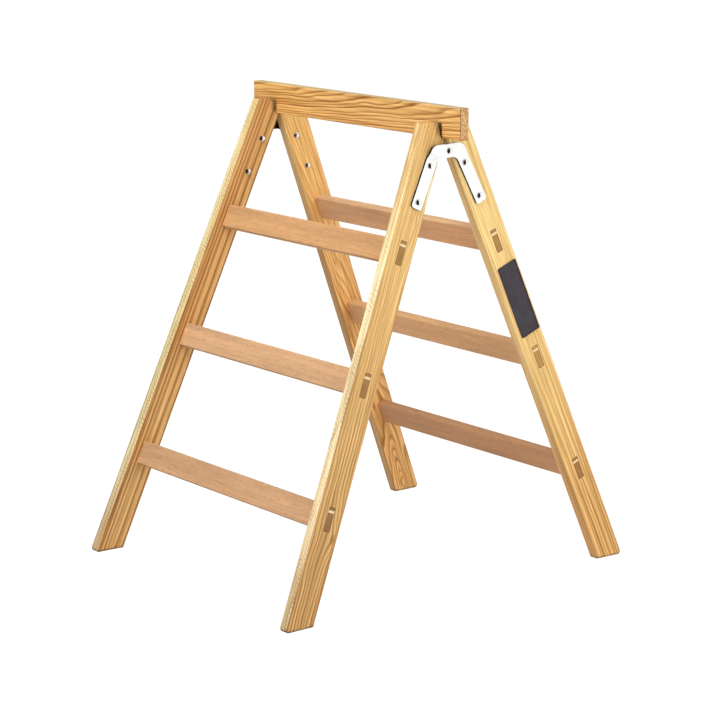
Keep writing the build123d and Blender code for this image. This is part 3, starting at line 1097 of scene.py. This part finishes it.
class TRESTLE_OT_beam_screws(bpy.types.Operator):
    """Model the countersunk beam screws with their cross slots"""

    bl_idname = "trestle.beam_screws"
    bl_label = "Beam screws"

    def execute(self, context):
        plate = zinc("screw_zinc")
        fittings = settings("trestle_fittings")
        half = fittings.screw_head / 2
        model = self.screw(fittings)
        for side in SIDES:
            node = f"{side}_beam_screws"
            low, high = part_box(node)
            screws = []
            for level in (low.z + half, high.z - half):
                screw = copy_of(model)
                place = Matrix.Translation(((low.x + high.x) / 2, low.y, level))
                settle(screw, place @ Matrix.Rotation(QUARTER_TURN, 4, "X"))
                screws.append(screw)
            pair = join(f"{side}_cross_slot_screws", screws)
            dress(pair, plate)
            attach(pair, "rear_frame")
            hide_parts(node)
        bpy.data.objects.remove(model)
        return {"FINISHED"}

    def screw(self, fittings):
        """Screw down from its flat head at Z 0."""
        blunt = 0.08              # share of the shank's radius that is left at the point
        rim = 0.0003              # upright edge of the head
        shank = fittings.screw_diameter / 2
        head = fittings.screw_head / 2
        point = fittings.screw_length
        outline = [(shank * blunt, -point), (shank, shank * 2 - point), (shank, -fittings.screw_head_depth)]
        outline += [(head, -rim), (head, 0)]
        screw = turned(outline)
        for turn in (0, QUARTER_TURN):
            clear_selection()
            bpy.ops.mesh.primitive_cube_add(size=1, rotation=(0, 0, turn))
            slot = active()
            slot.scale = (fittings.slot_length, fittings.slot_width, 2 * fittings.slot_depth)
            bpy.ops.object.transform_apply(location=True, rotation=True, scale=True)
            choose(screw)
            cut = screw.modifiers.new("slot", "BOOLEAN")
            cut.operation = "DIFFERENCE"
            cut.solver = "EXACT"
            cut.object = slot
            bpy.ops.object.modifier_apply(modifier=cut.name)
            bpy.data.objects.remove(slot)
        return screw


class TRESTLE_OT_sticker(bpy.types.Operator):
    """Model the blank sticker on the right rear stile"""

    bl_idname = "trestle.sticker"
    bl_label = "Blank sticker"

    def execute(self, context):
        fittings = settings("trestle_fittings")
        lift = 0.4                # height of the film's middle over the wood, in thicknesses
        stile = stile_frame("rear", "right")
        outside = ranges("rear_right_stile", stile)[1].x
        clear_selection()
        bpy.ops.mesh.primitive_cube_add(size=1)
        film = active()
        film.scale = (fittings.sticker_film, fittings.sticker_width, fittings.sticker_length)
        bpy.ops.object.transform_apply(location=True, rotation=True, scale=True)
        for edge in film.data.edges:
            first, second = (film.data.vertices[index].co for index in edge.vertices)
            edge.select = abs(first.x - second.x) > fittings.sticker_film / 2
        bpy.ops.object.mode_set(mode="EDIT")
        bpy.ops.mesh.select_mode(type="EDGE")
        bpy.ops.mesh.bevel(offset=fittings.sticker_round, segments=6, affect="EDGES")
        tidy_mesh()
        bpy.ops.object.mode_set(mode="OBJECT")
        film = join("blank_sticker", [film])
        place = (outside + fittings.sticker_film * lift, fittings.sticker_shift, fittings.sticker_height)
        settle(film, stile @ Matrix.Translation(place))
        dress(film, dark_film("sticker_film"))
        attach(film, "rear_frame")
        return {"FINISHED"}


class TRESTLE_OT_studio(bpy.types.Operator):
    """Set up the floor, the light and the camera"""

    bl_idname = "trestle.studio"
    bl_label = "Studio"

    def execute(self, context):
        studio = settings("trestle_studio")
        clear_selection()
        bpy.ops.mesh.primitive_plane_add(size=60)
        floor = active()
        floor.name = "floor"
        floor.data.materials.append(floor_paint(studio))
        self.light_world(context.scene, studio)
        self.add_lamp(
            "overhead_front", place=(0.5, -2.3, 3.7), aim=(0, 0, 0.5), size=2.6, power=studio.overhead_power
        )
        self.add_lamp("right", place=(3.8, 0.4, 1.9), aim=(0, 0, 0.6), size=3.2, power=studio.side_power)
        self.place_camera(context.scene, studio)
        context.scene.view_settings.view_transform = "Standard"
        return {"FINISHED"}

    def light_world(self, scene, studio):
        """White to the camera, and in mirrors but for the dark side and the strip; dimmer as light."""
        world = bpy.data.worlds.new("studio_world")
        world.use_nodes = True
        scene.world = world
        nodes = Nodes(world.node_tree)
        path = nodes.add("ShaderNodeLightPath").outputs
        direction = nodes.add("ShaderNodeTexCoord").outputs["Generated"]
        bright = bright_level(nodes, direction, studio.dark_side, studio.dark_spread, studio.mirrored_dark)
        level = nodes.pick(bright, studio.sky * studio.dark_share, studio.sky)
        level = nodes.pick(path["Is Glossy Ray"], level, mirrored_level(nodes, direction, studio))
        level = nodes.pick(path["Is Camera Ray"], level, 1.0)
        background = world.node_tree.nodes["Background"]
        nodes.feed(background.inputs["Strength"], level)
        nodes.feed(background.inputs["Color"], WHITE)

    def add_lamp(self, name, place, aim, size, power):
        """Round lamp that looks from a place at a point and isn't seen in mirrors."""
        bpy.ops.object.light_add(type="AREA", location=place)
        lamp = active()
        lamp.name = name
        lamp.data.shape = "DISK"
        lamp.data.size = size
        lamp.data.energy = power
        lamp.rotation_euler = (Vector(aim) - Vector(place)).to_track_quat("-Z", "Y").to_euler()
        lamp.visible_glossy = False

    def place_camera(self, scene, studio):
        """Camera that looks back along its azimuth and elevation at a point near the middle."""
        azimuth = studio.azimuth
        elevation = studio.elevation
        back = Vector((
            math.sin(azimuth) * math.cos(elevation),
            -math.cos(azimuth) * math.cos(elevation),
            math.sin(elevation),
        ))
        right = Vector((math.cos(azimuth), math.sin(azimuth), 0))
        up = back.cross(right)
        aim = Vector((0, 0, studio.aim_height)) + right * studio.aim_right - up * studio.aim_down
        tilted = Matrix.Rotation(studio.roll, 3, back)
        turn = (tilted @ Matrix((right, up, back)).transposed()).to_4x4()
        bpy.ops.object.camera_add()
        camera = active()
        camera.matrix_world = Matrix.Translation(aim + back * studio.distance) @ turn
        camera.data.lens = studio.focal_length
        camera.data.sensor_width = 36
        camera.data.clip_end = 200
        scene.camera = camera


class TRESTLE_PT_panel(bpy.types.Panel):
    """Everything that the trestle is dressed with"""

    bl_idname = "TRESTLE_PT_panel"
    bl_label = "Trestle"
    bl_space_type = "VIEW_3D"
    bl_region_type = "UI"
    bl_category = "Trestle"

    def draw(self, context):
        for operator in OPERATORS:
            self.layout.operator(operator.bl_idname)


GROUPS = {
    "trestle_timber": TrestleTimber,
    "trestle_fittings": TrestleFittings,
    "trestle_studio": TrestleStudio,
}
OPERATORS = (
    TRESTLE_OT_stiles,
    TRESTLE_OT_head_beam,
    TRESTLE_OT_rungs,
    TRESTLE_OT_wedges,
    TRESTLE_OT_hinge_leaves,
    TRESTLE_OT_hinge_nuts,
    TRESTLE_OT_hinge_bolts,
    TRESTLE_OT_beam_screws,
    TRESTLE_OT_sticker,
    TRESTLE_OT_studio,
)


def register():
    for group in GROUPS.values():
        bpy.utils.register_class(group)
    for name, group in GROUPS.items():
        setattr(bpy.types.Scene, name, PointerProperty(type=group))
    for operator in OPERATORS:
        bpy.utils.register_class(operator)
    bpy.utils.register_class(TRESTLE_PT_panel)


def unregister():
    bpy.utils.unregister_class(TRESTLE_PT_panel)
    for operator in reversed(OPERATORS):
        bpy.utils.unregister_class(operator)
    for name, group in GROUPS.items():
        delattr(bpy.types.Scene, name)
        bpy.utils.unregister_class(group)


def main():
    register()
    bpy.ops.trestle.stiles()
    bpy.ops.trestle.head_beam()
    bpy.ops.trestle.rungs()
    bpy.ops.trestle.wedges()
    bpy.ops.trestle.hinge_leaves()
    bpy.ops.trestle.hinge_nuts()
    bpy.ops.trestle.hinge_bolts()
    bpy.ops.trestle.beam_screws()
    bpy.ops.trestle.sticker()
    bpy.ops.trestle.studio()


if __name__ == "__main__":
    main()
